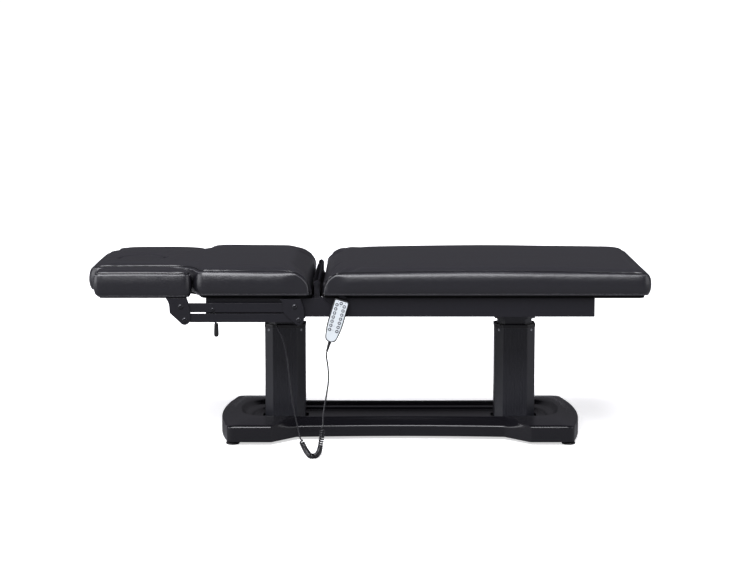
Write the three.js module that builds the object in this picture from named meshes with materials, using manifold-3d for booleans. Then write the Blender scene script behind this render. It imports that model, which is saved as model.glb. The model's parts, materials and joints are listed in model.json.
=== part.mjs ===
// Electric facial treatment bed, millimetres, +Z up, head end at -X, near side at -Y.
// Origin: on the floor, 8 mm from under the middle of the bed. The bed is at its lowest height.
import * as THREE from 'three';
import { mergeVertices } from 'three/addons/utils/BufferGeometryUtils.js';
import Module from 'manifold-3d';

const wasm = await Module();
wasm.setup();

// ---------- driving dimensions ----------
const GAP = 0.3; // between neighbours that touch
const BED = { headEnd: -983, footEnd: 967, width: 760, top: 634, cushionBottom: 540,
  boardBottom: 527 };
const BASE = { midX: 108.5, halfLength: 644, bow: 32, halfDepth: 300, bottom: 11,
  waistHalfLength: 368 };
const COLUMN = { spacing: 828, sleeveTop: 380, collarTop: 392, tubeTop: 412 };
const RAIL = { left: -565, right: 776, outer: 350, bottom: 463, top: 527, wall: 4, flange: 30 };
const HINGE = { x: -182.5, z: 574, pinRadius: 5, holeRadius: 5.3 };
const ARM = { linkLength: 392, upperPivot: [-258, 502], pivotStep: [13.5, -46] };
const FACE_HOLE = { x: -821, halfLength: 85, halfWidth: 70 };
const HANDSET = { x: -116, z: 451.5, length: 152, width: 53, tilt: 0.29, front: -377.8 };
const CORD = { diameter: 5.5, coilDiameter: 18 };

const COLUMN_X = [BASE.midX - COLUMN.spacing / 2, BASE.midX + COLUMN.spacing / 2];
const HALF_WIDTH = BED.width / 2;

// ---------- materials ----------
const finish = (color, roughness, metalness = 0) =>
  new THREE.MeshStandardMaterial({ color, roughness, metalness });
const MATERIAL = {
  leather: finish(0x1c1b20, 0.38),
  ply: finish(0x121212, 0.8),
  coatedSteel: finish(0x26262b, 0.45, 0.4),
  column: finish(0x2b2d33, 0.35, 0.6),
  plastic: finish(0x232227, 0.4),
  foot: finish(0x0d0d0d, 0.6),
  bright: finish(0xb9bcc2, 0.25, 1),
  handset: finish(0xe6ecee, 0.45),
  key: finish(0xc9cdd0, 0.5),
  cord: finish(0x101011, 0.5),
};

// ---------- solid modelling helpers ----------
const part = new THREE.Group();

function solid(geometry) {
  const bare = geometry.clone();
  bare.deleteAttribute('normal');
  bare.deleteAttribute('uv');
  const merged = mergeVertices(bare, 1e-4);
  return new wasm.Manifold(new wasm.Mesh({
    numProp: 3,
    vertProperties: new Float32Array(merged.attributes.position.array),
    triVerts: new Uint32Array(merged.index.array),
  }));
}

const union = (...solids) => solids.reduce((whole, piece) => whole.add(piece));

function add(name, body, material) {
  const mesh = body.getMesh();
  const geometry = new THREE.BufferGeometry();
  geometry.setAttribute('position', new THREE.BufferAttribute(mesh.vertProperties, 3));
  geometry.setIndex(new THREE.BufferAttribute(mesh.triVerts, 1));
  geometry.computeVertexNormals();
  const node = new THREE.Mesh(geometry, material);
  node.name = name;
  part.add(node);
}

function extrude(shape, depth, basis, curveSegments = 4) {
  const geometry = new THREE.ExtrudeGeometry(shape, { depth, bevelEnabled: false, curveSegments });
  return solid(geometry.applyMatrix4(basis));
}

// a plan outline (X, Y) raised from z0 to z1
const slab = (shape, z0, z1, segments) =>
  extrude(shape, z1 - z0, new THREE.Matrix4().makeTranslation(0, 0, z0), segments);

// a side outline (X, Z) running from y0 to y1
function alongY(shape, y0, y1, segments) {
  const basis = new THREE.Matrix4().makeBasis(
    new THREE.Vector3(1, 0, 0), new THREE.Vector3(0, 0, 1), new THREE.Vector3(0, -1, 0));
  return extrude(shape, y1 - y0, basis.setPosition(0, y1, 0), segments);
}

// an end outline (Y, Z) running from x0 to x1
function alongX(shape, x0, x1, segments) {
  const basis = new THREE.Matrix4().makeBasis(
    new THREE.Vector3(0, 1, 0), new THREE.Vector3(0, 0, 1), new THREE.Vector3(1, 0, 0));
  return extrude(shape, x1 - x0, basis.setPosition(x0, 0, 0), segments);
}

function box(x0, x1, y0, y1, z0, z1) {
  const geometry = new THREE.BoxGeometry(x1 - x0, y1 - y0, z1 - z0);
  return solid(geometry.translate((x0 + x1) / 2, (y0 + y1) / 2, (z0 + z1) / 2));
}

// a round bar between two points, tapered if the second radius differs
function rod(start, end, radius, endRadius = radius, sides = 14) {
  const from = new THREE.Vector3(...start);
  const axis = new THREE.Vector3(...end).sub(from);
  const geometry = new THREE.CylinderGeometry(endRadius, radius, axis.length(), sides);
  const turn = new THREE.Quaternion().setFromUnitVectors(
    new THREE.Vector3(0, 1, 0), axis.clone().normalize());
  geometry.applyQuaternion(turn);
  const middle = from.addScaledVector(axis, 0.5);
  return solid(geometry.translate(middle.x, middle.y, middle.z));
}

function polygon(points) {
  return new THREE.Shape(points.map(([u, v]) => new THREE.Vector2(u, v)));
}

function roundedRect(x0, x1, y0, y1, radius) {
  const shape = new THREE.Shape();
  shape.moveTo(x0 + radius, y0);
  shape.lineTo(x1 - radius, y0);
  shape.absarc(x1 - radius, y0 + radius, radius, -Math.PI / 2, 0);
  shape.absarc(x1 - radius, y1 - radius, radius, 0, Math.PI / 2);
  shape.absarc(x0 + radius, y1 - radius, radius, Math.PI / 2, Math.PI);
  shape.absarc(x0 + radius, y0 + radius, radius, Math.PI, 1.5 * Math.PI);
  return shape;
}

function octagon(x, width, depth, chamfer) {
  const half = width / 2;
  const side = depth / 2;
  return polygon([
    [x - half + chamfer, -side], [x + half - chamfer, -side], [x + half, -side + chamfer],
    [x + half, side - chamfer], [x + half - chamfer, side], [x - half + chamfer, side],
    [x - half, side - chamfer], [x - half, -side + chamfer]]);
}

const mirrorY = (body) => body.mirror([0, 1, 0]);
const SIDES = [['near', (body) => body], ['far', mirrorY]];
const COLUMNS = [['head', COLUMN_X[0]], ['foot', COLUMN_X[1]]];

// ---------- nested column sections: fixed core, inner tube and outer sleeve ----------
const CORE = { width: 98, depth: 82, chamfer: 19, bottom: 44, top: 376 };
const TUBE = { width: 122, depth: 106, chamfer: 24.5, bottom: 60 };
const SLEEVE = { width: 146, depth: 130, chamfer: 29.5, bottom: 48 };
const TUBE_WALL = 3;

function octagonTube(x, { width, depth, chamfer, bottom }, top) {
  const inside = 2 * TUBE_WALL;
  const corner = chamfer - TUBE_WALL * 0.59;
  return slab(octagon(x, width, depth, chamfer), bottom, top).subtract(
    slab(octagon(x, width - inside, depth - inside, corner), bottom - 1, top + 1));
}

// ---------- base ----------
// A dog-bone plan: bowed ends with round corners, and sides that step in to a waist.
function baseOutline(halfLength, halfDepth, waistHalfDepth, corner) {
  const { midX, bow, waistHalfLength } = BASE;
  const shoulder = halfLength - 187;
  const ends = halfLength - bow;
  const outline = new THREE.Shape();
  outline.moveTo(midX - waistHalfLength, -waistHalfDepth);
  outline.quadraticCurveTo(
    midX, -waistHalfDepth + bow, midX + waistHalfLength, -waistHalfDepth);
  outline.lineTo(midX + shoulder, -halfDepth);
  outline.lineTo(midX + ends - corner, -halfDepth);
  outline.quadraticCurveTo(midX + ends, -halfDepth, midX + ends, -halfDepth + corner);
  outline.quadraticCurveTo(midX + halfLength + bow, 0, midX + ends, halfDepth - corner);
  outline.quadraticCurveTo(midX + ends, halfDepth, midX + ends - corner, halfDepth);
  outline.lineTo(midX + shoulder, halfDepth);
  outline.lineTo(midX + waistHalfLength, waistHalfDepth);
  outline.quadraticCurveTo(
    midX, waistHalfDepth - bow, midX - waistHalfLength, waistHalfDepth);
  outline.lineTo(midX - shoulder, halfDepth);
  outline.lineTo(midX - ends + corner, halfDepth);
  outline.quadraticCurveTo(midX - ends, halfDepth, midX - ends, halfDepth - corner);
  outline.quadraticCurveTo(midX - halfLength - bow, 0, midX - ends, -halfDepth + corner);
  outline.quadraticCurveTo(midX - ends, -halfDepth, midX - ends + corner, -halfDepth);
  outline.lineTo(midX - shoulder, -halfDepth);
  return outline;
}

const WALL = 4;
const COVER = { skirtTop: 45, shoulderTop: 66, crownTop: 78, recessFloor: 50 };

function baseCover() {
  const { halfLength, halfDepth, bottom } = BASE;
  const outer = union(
    slab(baseOutline(halfLength, halfDepth, 205, 30), bottom, COVER.skirtTop),
    slab(baseOutline(halfLength - 3, halfDepth - 3, 184, 28), bottom, COVER.shoulderTop),
    slab(baseOutline(halfLength - 36, 226, 160, 60), bottom, COVER.crownTop));
  const recess = slab(
    baseOutline(halfLength - 61, 165, 112, 130), COVER.recessFloor, COVER.crownTop + 1);
  const cavity = union(
    slab(baseOutline(halfLength - WALL, halfDepth - WALL, 201, 27), bottom - 1,
      COVER.skirtTop - WALL),
    slab(baseOutline(halfLength - 7, halfDepth - 7, 180, 25), bottom - 1,
      COVER.recessFloor - WALL));
  const openings = COLUMN_X.map((x) => slab(octagon(x, 166, 150, 33), 0, 100));
  return outer.subtract(union(recess, cavity, ...openings));
}
add('base_cover', baseCover(), MATERIAL.plastic);

const FOOT = { dx: 590, y: 268, radius: 24, padHeight: 10, stemRadius: 6, stemTop: 36 };
const FOOT_PLACES = [['head_near', -1, -1], ['head_far', -1, 1], ['foot_near', 1, -1],
  ['foot_far', 1, 1]].map(([corner, sx, sy]) =>
  [BASE.midX + sx * FOOT.dx, sy * FOOT.y, corner]);

function baseFrame() {
  const spine = box(BASE.midX - FOOT.dx, BASE.midX + FOOT.dx, -50, 50, 20, 42);
  const beams = [-1, 1].map((end) => {
    const edges = [end * (FOOT.dx - 28), end * (FOOT.dx + 12)].sort((a, b) => a - b);
    return box(BASE.midX + edges[0], BASE.midX + edges[1], -279, 279, 17, 40);
  });
  const flanges = COLUMN_X.map((x) => box(x - 72, x + 72, -64, 64, 41, 45));
  const cores = COLUMN_X.map((x) => octagonTube(x, CORE, CORE.top));
  const holes = FOOT_PLACES.map(([x, y]) => rod([x, y, 10], [x, y, 50], FOOT.stemRadius + GAP));
  return union(spine, ...beams, ...flanges, ...cores).subtract(union(...holes));
}
add('base_frame', baseFrame(), MATERIAL.coatedSteel);

function levellingFoot([x, y]) {
  const { radius, padHeight, stemRadius, stemTop } = FOOT;
  const profile = [[0, 0], [radius - 2, 0], [radius, 3], [radius, padHeight - 2],
    [radius - 3, padHeight], [stemRadius, padHeight], [stemRadius, stemTop], [0, stemTop]];
  const geometry = new THREE.LatheGeometry(profile.map(([r, z]) => new THREE.Vector2(r, z)), 18);
  return solid(geometry.rotateX(Math.PI / 2).translate(x, y, 0));
}
for (const place of FOOT_PLACES) {
  add(`${place[2]}_levelling_foot`, levellingFoot(place), MATERIAL.foot);
}

// ---------- lifting columns, nested from the inside out ----------

function liftMotor(x) {
  const housing = rod([x, 0, 45 + GAP], [x, 0, 372], 30);
  return housing.subtract(rod([x, 0, 56], [x, 0, 400], 14));
}

function innerTube(x) {
  const flange = slab(octagon(x, SLEEVE.width, SLEEVE.depth, SLEEVE.chamfer), COLUMN.tubeTop, 424);
  const pushRod = rod([x, 0, 62], [x, 0, COLUMN.tubeTop + 1], 11);
  return union(octagonTube(x, TUBE, COLUMN.tubeTop + 1), flange, pushRod);
}

// The collar caps the sleeve and guides the inner tube.
function collar(x) {
  const cap = slab(octagon(x, SLEEVE.width + 3, SLEEVE.depth + 3, SLEEVE.chamfer + 0.9),
    COLUMN.sleeveTop + GAP, COLUMN.collarTop);
  const guide = slab(octagon(x, SLEEVE.width - 2 * TUBE_WALL - 1, SLEEVE.depth - 2 * TUBE_WALL - 1,
    SLEEVE.chamfer - 2), COLUMN.sleeveTop - 34, COLUMN.sleeveTop + 1);
  const bore = slab(octagon(x, TUBE.width + 1.2, TUBE.depth + 1.2, TUBE.chamfer + 0.4), 300, 420);
  return union(cap, guide).subtract(bore);
}

for (const [end, x] of COLUMNS) {
  add(`${end}_lift_motor`, liftMotor(x), MATERIAL.bright);
  add(`${end}_sleeve`, octagonTube(x, SLEEVE, COLUMN.sleeveTop), MATERIAL.column);
  add(`${end}_collar`, collar(x), MATERIAL.plastic);
  add(`${end}_inner_tube`, innerTube(x), MATERIAL.column);
}

// ---------- lifting frame ----------
const CROSS_TOP = 499;
const ACTUATOR = { tail: [430, 487], clevisGap: 7.5 };

function rail() {
  const { left, right, outer, bottom, top, wall, flange } = RAIL;
  const section = polygon([
    [-outer, bottom], [-outer + flange, bottom], [-outer + flange, bottom + wall],
    [-outer + wall, bottom + wall], [-outer + wall, top - wall], [-outer + flange, top - wall],
    [-outer + flange, top], [-outer, top]]);
  const notch = polygon([[-169, 532], [-126, 532], [-126, 496]]);
  return alongX(section, left, right).subtract(alongY(notch, -outer - 1, -outer + wall + 1));
}

function crossMember(x) {
  const channel = box(x - 55, x + 55, -345.8, 345.8, RAIL.bottom, CROSS_TOP).subtract(
    box(x - 51, x + 51, -340, 340, RAIL.bottom - 1, CROSS_TOP - RAIL.wall));
  const pedestal = slab(octagon(x, 110, 100, 24), COLUMN.tubeTop + 12 + GAP, CROSS_TOP - 2);
  const bridge = box(x - 55, x + 55, -346.5, 346.5, CROSS_TOP - RAIL.wall, CROSS_TOP);
  return union(channel, pedestal, bridge);
}

// hinge bracket: a foot on the rail and an upright that carries the pin in the cushion gap
function hingeBracket() {
  const { x, z, pinRadius } = HINGE;
  const half = 10.5;
  const upright = box(x - half, x + half, -323, -317, RAIL.top - 1, z);
  const eye = rod([x, -323, z], [x, -317, z], half, half, 16);
  const foot = box(x - half, x + half, -345, -318, RAIL.top - 1, RAIL.top + 4);
  const pin = rod([x, -322, z], [x, -307, z], pinRadius);
  const head = rod([x, -330, z], [x, -322, z], 8, 8, 6);
  return union(upright, eye, foot, pin, head);
}
function liftFrame() {
  const ends = [RAIL.left, RAIL.right - RAIL.wall].map((x) =>
    box(x, x + RAIL.wall, -347, 347, RAIL.bottom, CROSS_TOP));
  const [tailX, tailZ] = ACTUATOR.tail;
  const ears = [-1, 1].map((side) => {
    const y = side * (ACTUATOR.clevisGap + 14);
    return box(tailX - 14, COLUMN_X[1] - 50, y - 2.5, y + 2.5, tailZ - 15, tailZ + 11);
  });
  const pin = rod([tailX, -26, tailZ], [tailX, 26, tailZ], 5);
  const side = union(rail(), hingeBracket());
  return union(side, mirrorY(side), ...ends, ...COLUMN_X.map(crossMember), ...ears, pin);
}
add('lift_frame', liftFrame(), MATERIAL.coatedSteel);

function controlBox() {
  const shell = slab(roundedRect(60, 300, 120, 300, 8), 476, 526.5);
  const socket = box(290, 301, 180, 208, 490, 512);
  return shell.subtract(socket);
}
add('control_box', controlBox(), MATERIAL.plastic);

// ---------- cushions and boards ----------
const BOARD_SIDE_INSET = 30.5;
const MAIN = { left: -170, right: BED.footEnd, bullnose: 75 };
const BACK = { left: BED.headEnd, right: -197, shoulder: -597, neck: 235, bullnose: 87 };

// side outline of a cushion: one end is a quarter-round bullnose, the other has a small radius
function cushionProfile(noseX, reach, otherX, edge) {
  const { top, cushionBottom } = BED;
  const direction = Math.sign(otherX - noseX);
  const nose = noseX + direction * reach;
  const rise = 0.4477;
  const low = cushionBottom + 16;
  const profile = new THREE.Shape();
  profile.moveTo(otherX, cushionBottom);
  profile.lineTo(otherX, top - edge);
  profile.lineTo(otherX - direction * edge * 0.3, top - edge * 0.3);
  profile.lineTo(otherX - direction * edge, top);
  profile.lineTo(nose, top);
  profile.bezierCurveTo(nose - direction * reach * (1 - rise), top,
    noseX, low + (top - low) * (1 - rise), noseX, low);
  profile.lineTo(noseX, cushionBottom);
  return profile;
}

function mainOutline(inset) {
  const side = HALF_WIDTH - (inset ? BOARD_SIDE_INSET : 0);
  return roundedRect(MAIN.left + inset * 0.3, MAIN.right - inset, -side, side, 32 - inset / 2);
}

// T-shaped plan: wide at the back, with concave shoulders down to the narrow head part
function backOutline(inset) {
  const wide = HALF_WIDTH - (inset ? BOARD_SIDE_INSET : 0);
  const neck = BACK.neck - inset;
  const left = BACK.left + inset;
  const right = BACK.right - inset * 0.2;
  const shoulder = BACK.shoulder + inset;
  const outline = new THREE.Shape();
  outline.moveTo(right - 28, -wide);
  outline.quadraticCurveTo(right, -wide, right, -wide + 28);
  outline.lineTo(right, wide - 28);
  outline.quadraticCurveTo(right, wide, right - 28, wide);
  outline.lineTo(shoulder + 34, wide);
  outline.quadraticCurveTo(shoulder, wide, shoulder - 6, wide - 34);
  outline.quadraticCurveTo(shoulder - 22, neck, shoulder - 92, neck);
  outline.lineTo(left + 40, neck);
  outline.quadraticCurveTo(left, neck, left, neck - 40);
  outline.lineTo(left, -neck + 40);
  outline.quadraticCurveTo(left, -neck, left + 40, -neck);
  outline.lineTo(shoulder - 92, -neck);
  outline.quadraticCurveTo(shoulder - 22, -neck, shoulder - 6, -wide + 34);
  outline.quadraticCurveTo(shoulder, -wide, shoulder + 34, -wide);
  return outline;
}

function faceOval(grow) {
  const oval = new THREE.Shape();
  oval.absellipse(FACE_HOLE.x, 0, FACE_HOLE.halfLength + grow, FACE_HOLE.halfWidth + grow,
    0, 2 * Math.PI);
  return oval;
}

const mainCushion = alongY(cushionProfile(MAIN.left, MAIN.bullnose, MAIN.right, 22),
  -HALF_WIDTH, HALF_WIDTH, 10);
add('main_cushion', mainCushion.intersect(slab(mainOutline(0), 500, 700, 5)), MATERIAL.leather);
add('main_board', slab(mainOutline(18), BED.boardBottom + GAP, BED.cushionBottom - GAP, 4),
  MATERIAL.ply);

const faceHole = slab(faceOval(1), 400, 700, 8);
const backCushion = alongY(cushionProfile(BACK.right, BACK.bullnose, BACK.left, 22),
  -HALF_WIDTH, HALF_WIDTH, 10);
add('back_cushion', backCushion.intersect(slab(backOutline(0), 500, 700, 5)).subtract(faceHole),
  MATERIAL.leather);
add('back_board', slab(backOutline(18), BED.boardBottom + GAP, BED.cushionBottom - GAP, 5)
  .subtract(faceHole), MATERIAL.ply);
add('face_plug', slab(faceOval(0), 568, BED.top, 8), MATERIAL.leather);

// folded leather gusset that closes the gap between the two cushions
function gusset() {
  const { x } = HINGE;
  const fold = polygon([[x - 12.5, 545], [x + 10.5, 545], [x + 8, 556], [x - 1, 562],
    [x - 9, 556]]);
  return alongY(fold, -300, 300);
}
add('hinge_gusset', gusset(), MATERIAL.leather);

// ---------- backrest frame and its actuator ----------
const LEVER = [55, -65]; // from the hinge to the actuator's rod eye
const BACK_TUBE = 25; // square tube

function backFrame() {
  const { x, z, holeRadius } = HINGE;
  const top = BED.boardBottom - 0.5;
  const bottom = top - BACK_TUBE;
  const armY = 212;
  const half = BACK_TUBE / 2;
  const headEnd = -573;
  const armStart = headEnd + BACK_TUBE;
  const arms = [-1, 1].map((side) =>
    box(armStart, -200, side * armY - half, side * armY + half, bottom, top));
  const crossTubes = [box(headEnd, armStart, -armY - half, armY + half, bottom, top),
    box(-235, x + 10.5, -315.5, 315.5, bottom, top)];
  const ears = [-1, 1].map((side) => {
    const y0 = side > 0 ? 309 : -315.5;
    const ear = box(x - 10.5, x + 10.5, y0, y0 + 6.5, 510, z)
      .add(rod([x, y0, z], [x, y0 + 6.5, z], 10.5, 10.5, 16));
    return ear.subtract(rod([x, y0 - 1, z], [x, y0 + 8, z], holeRadius));
  });
  const lever = box(x - 30, x + LEVER[0] + 12, -6, 6, z + LEVER[1] - 11, z + LEVER[1] + 13);
  return union(...arms, ...crossTubes, ...ears, lever);
}
add('back_frame', backFrame(), MATERIAL.coatedSteel);

function backActuator() {
  const [tailX, tailZ] = ACTUATOR.tail;
  const tube = rod([60, 0, tailZ + 14.6], [tailX - 60, 0, tailZ + 1.6], 17);
  const gearbox = box(tailX - 90, tailX - 16, -19, 19, tailZ - 17, tailZ + 21);
  const motor = rod([tailX - 84, -44, tailZ - 2], [tailX - 84, -19, tailZ - 2], 24);
  const tail = box(tailX - 20, tailX + 10, -ACTUATOR.clevisGap, ACTUATOR.clevisGap,
    tailZ - 10, tailZ + 10);
  const pinHole = rod([tailX, -20, tailZ], [tailX, 20, tailZ], 5 + GAP);
  const bore = rod([59, 0, tailZ + 14.63], [330, 0, tailZ + 4], 10.4);
  return union(tube, gearbox, motor, tail).subtract(union(pinHole, bore));
}
add('back_actuator', backActuator(), MATERIAL.plastic);

function backActuatorRod() {
  const [tailX, tailZ] = ACTUATOR.tail;
  const eyeX = HINGE.x + LEVER[0];
  const eyeZ = HINGE.z + LEVER[1];
  const slope = (eyeZ - tailZ) / (tailX - eyeX);
  const at = (x) => tailZ + slope * (tailX - x);
  const yokeX = eyeX + 30; // far enough from the eye for the lever's tip to swing past
  const bar = rod([yokeX + 10, 0, at(yokeX + 10)], [320, 0, at(320)], 10);
  const yoke = box(yokeX, yokeX + 14, -14, 14, eyeZ - 10, eyeZ + 8);
  const ears = [-1, 1].map((side) => box(eyeX - 11, yokeX + 4, side * 10.5 - 3, side * 10.5 + 3,
    eyeZ - 10, eyeZ + 9));
  return union(bar, yoke, ...ears);
}
add('back_actuator_rod', backActuatorRod(), MATERIAL.bright);

// ---------- armrests on parallel links ----------
const [UPPER_X, UPPER_Z] = ARM.upperPivot;
const [STEP_X, STEP_Z] = ARM.pivotStep;
const PIVOTS = {
  fixed: [[UPPER_X, UPPER_Z], [UPPER_X + STEP_X, UPPER_Z + STEP_Z]],
  pad: [[UPPER_X - ARM.linkLength, UPPER_Z],
    [UPPER_X - ARM.linkLength + STEP_X, UPPER_Z + STEP_Z]],
};
const PLATE_OUTER = [-375, -370.3];
const PLATE_INNER = [-361.6, -357];
const BAR_Y = [-369.4, -362.4];

// a fin-shaped plate: straight top edge, hollow then slanted left edge, round foot about the
// lower pivot and a bowed right edge
function finOutline([[ux, uz], [lx, lz]], top) {
  const fin = new THREE.Shape();
  fin.moveTo(ux - 51, top);
  fin.quadraticCurveTo(ux - 40, uz + 16, ux - 39, uz - 4);
  fin.lineTo(ux - 38, uz - 22);
  fin.absarc(lx, lz, 18, 1.22 * Math.PI, 1.9 * Math.PI);
  fin.quadraticCurveTo(ux + 38, uz - 15, ux + 20, top);
  return fin;
}

function clevis(pivots, top) {
  const fin = finOutline(pivots, top);
  const plates = [PLATE_OUTER, PLATE_INNER].map(([y0, y1]) => alongY(fin, y0, y1));
  const web = box(pivots[0][0] - 46, pivots[0][0] + 6, PLATE_OUTER[0], PLATE_INNER[1],
    top - 4, top);
  const bolts = pivots.map(([x, z]) => union(
    rod([x, -371, z], [x, -361, z], 4, 4, 12), rod([x, -379, z], [x, -374, z], 7.5, 8.5, 12)));
  return union(...plates, web, ...bolts);
}

function linkBar([x0, z0], [x1, z1], above, below) {
  const bar = roundedRect(Math.min(x0, x1) - 13, Math.max(x0, x1) + 13, z0 - below, z0 + above, 12);
  const holes = [[x0, z0], [x1, z1]].map(([x, z]) => rod([x, -375, z], [x, -355, z], 4 + GAP));
  return alongY(bar, ...BAR_Y).subtract(union(...holes));
}

function padBracket() {
  const tray = box(-930, -630, -366, -262, 530, 533.5);
  return union(clevis(PIVOTS.pad, 530.5), tray);
}

function armPad() {
  const outline = new THREE.Shape();
  outline.moveTo(-925, -380);
  outline.lineTo(-645, -380);
  outline.quadraticCurveTo(-614.5, -380, -614.5, -350);
  outline.quadraticCurveTo(-624, -248, -704, -248);
  outline.lineTo(-925, -248);
  outline.quadraticCurveTo(-950, -248, -950, -272);
  outline.lineTo(-950, -355);
  outline.quadraticCurveTo(-950, -380, -925, -380);
  return slab(outline, 534, 626, 6);
}

const LOCK = { x: -540, z: 492 };
function lockLever() {
  const { x, z } = LOCK;
  const handle = rod([x, -358, z], [x + 11.5, -358, 403], 3.6, 3.6, 12);
  const grip = alongY(roundedRect(x + 2, x + 20, 394, 442, 8.5), -361, -352.5, 3);
  const hub = rod([x, -361.6, z], [x, -354, z], 12);
  const bolt = rod([x, -376, z], [x, -361, z], 4, 4, 12);
  const head = rod([x, -376, z], [x, -370, z], 7, 7, 6);
  return union(handle, grip, hub, bolt, head);
}

for (const [side, place] of SIDES) {
  const holeForLock = rod([LOCK.x, -380, LOCK.z], [LOCK.x, -350, LOCK.z], 4 + GAP);
  const upper = linkBar(PIVOTS.fixed[0], PIVOTS.pad[0], 11, 21).subtract(holeForLock);
  const lower = linkBar(PIVOTS.fixed[1], PIVOTS.pad[1], 20.7, 9.5);
  add(`${side}_fixed_plate`, place(clevis(PIVOTS.fixed, BED.boardBottom - GAP)),
    MATERIAL.coatedSteel);
  add(`${side}_upper_bar`, place(upper), MATERIAL.coatedSteel);
  add(`${side}_lower_bar`, place(lower), MATERIAL.coatedSteel);
  add(`${side}_pad_bracket`, place(padBracket()), MATERIAL.coatedSteel);
  add(`${side}_arm_pad`, place(armPad()), MATERIAL.leather);
  add(`${side}_lock_lever`, place(lockLever()), MATERIAL.plastic);
}

// ---------- handset ----------
// Built upright about its own centre, then tilted in the plane of the side rail.
const BODY = { back: -355, face: HANDSET.front + 1.6 };

function tilted(body) {
  const turn = THREE.MathUtils.radToDeg(HANDSET.tilt);
  return body.rotate([0, turn, 0]).translate([HANDSET.x, 0, HANDSET.z]);
}

function handsetOutline(inset) {
  const half = HANDSET.length / 2 - inset;
  const top = HANDSET.width / 2 - inset;
  const foot = top - 6;
  const outline = new THREE.Shape();
  outline.moveTo(-foot + 8, -half);
  outline.lineTo(foot - 8, -half);
  outline.quadraticCurveTo(foot, -half, foot + 0.8, -half + 12);
  outline.lineTo(top, half - 8);
  outline.quadraticCurveTo(top, half, top - 8, half);
  outline.lineTo(-top + 8, half);
  outline.quadraticCurveTo(-top, half, -top, half - 8);
  outline.lineTo(-foot - 0.8, -half + 12);
  outline.quadraticCurveTo(-foot, -half, -foot + 8, -half);
  return outline;
}

const KEY = { radius: 5.4, pitchX: 26, pitchZ: 14.9, columns: 2, rows: 7, firstRow: 56, topKey: 64 };
const KEY_PLACES = [[0, KEY.topKey]];
for (let row = 0; row < KEY.rows; row += 1) {
  for (let column = 0; column < KEY.columns; column += 1) {
    KEY_PLACES.push([(column - 0.5) * KEY.pitchX, KEY.firstRow - row * KEY.pitchZ]);
  }
}

const keyHoles = union(...KEY_PLACES.map(([u, v]) =>
  rod([u, -390, v], [u, BODY.face + 3, v], KEY.radius + GAP, KEY.radius + GAP, 10)));
const hookSlot = box(-9, 9, -362, -350, 30, 70);
add('handset_case', tilted(alongY(handsetOutline(0), BODY.face, BODY.back, 3)
  .subtract(keyHoles).subtract(hookSlot)), MATERIAL.foot);
add('handset_face', tilted(alongY(handsetOutline(2.5), HANDSET.front, BODY.face - 0.1, 3)
  .subtract(keyHoles)), MATERIAL.handset);
KEY_PLACES.forEach(([u, v], index) => {
  const key = rod([u, HANDSET.front - 1, v], [u, BODY.face + 1.4, v], KEY.radius, KEY.radius, 10);
  add(`key_${String(index + 1).padStart(2, '0')}`, tilted(key), MATERIAL.key);
});

const RELIEF_LENGTH = 36;
const relief = rod([0, -366, -HANDSET.length / 2 - GAP],
  [0, -366, -HANDSET.length / 2 - RELIEF_LENGTH], 6, 3.4, 14);
add('handset_strain_relief', tilted(relief), MATERIAL.cord);

// hook on the rail: a back plate and an upturned tongue in the handset's slot
function handsetHook() {
  const plate = box(-13, 11, -353.4, -RAIL.outer - GAP, 32, 88);
  const tongue = box(-7, 7, -361, -353, 52, 56);
  const lip = box(-7, 7, -361, -358, 52, 61);
  return tilted(union(plate, tongue, lip));
}
add('handset_hook', handsetHook(), MATERIAL.coatedSteel);

// ---------- handset cord ----------
// Centre line from the handset's strain relief, down to the floor and back up to the gland.
const reliefTip = [
  HANDSET.x - Math.sin(HANDSET.tilt) * (HANDSET.length / 2 + RELIEF_LENGTH + 1), -366,
  HANDSET.z - Math.cos(HANDSET.tilt) * (HANDSET.length / 2 + RELIEF_LENGTH + 1)];
const HANDSET_LEAD = [reliefTip, [-148, -368, 325], [-142, -374, 289], [-142, -384, 250],
  [-147, -394, 210], [-155, -402, 162], [-160, -409, 125], [-161, -414, 97.5]];
const COIL = [[-161, -414, 96.5], [-164, -424, 70], [-167, -436, 42], [-171, -452, 20],
  [-176, -480, 10.5], [-183, -513, 9.5], [-193, -524, 9.5], [-203, -513, 9.5],
  [-211, -480, 10], [-221, -448, 18], [-232, -424, 34], [-240, -410, 52]];
const FRAME_LEAD = [[-240.5, -409.5, 53.6], [-249, -398, 88], [-259, -388, 130], [-270, -377, 190],
  [-281, -364, 278], [-289, -355, 339], [-305, -346, 396], [-320, -340, 425],
  [-323.6, -338, 433.2]];
const GLAND_TOP = [-324, -336, RAIL.bottom - 4 * GAP];

function tube(points, radius, steps, sides) {
  const path = new THREE.CatmullRomCurve3(points.map((p) => new THREE.Vector3(...p)));
  const section = new THREE.Shape();
  for (let i = 0; i < sides; i += 1) {
    const angle = (2 * Math.PI * i) / sides;
    section[i ? 'lineTo' : 'moveTo'](radius * Math.cos(angle), radius * Math.sin(angle));
  }
  return solid(new THREE.ExtrudeGeometry(section, { steps, extrudePath: path, curveSegments: 1 }));
}
add('cord_lead_handset', tube(HANDSET_LEAD, CORD.diameter / 2, 20, 8), MATERIAL.cord);
add('cord_coil', tube(COIL, CORD.coilDiameter / 2 - 0.3, 22, 10), MATERIAL.cord);
add('cord_lead_frame', tube(FRAME_LEAD, CORD.diameter / 2, 26, 8), MATERIAL.cord);
add('cord_gland', rod(GLAND_TOP, [-324, -338, 435], 8, 4, 14), MATERIAL.cord);

export default part;
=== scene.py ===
import json
import math

import bmesh
import bpy
import numpy as np
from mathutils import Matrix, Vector, noise
from mathutils.bvhtree import BVHTree
from mathutils.kdtree import KDTree


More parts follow.
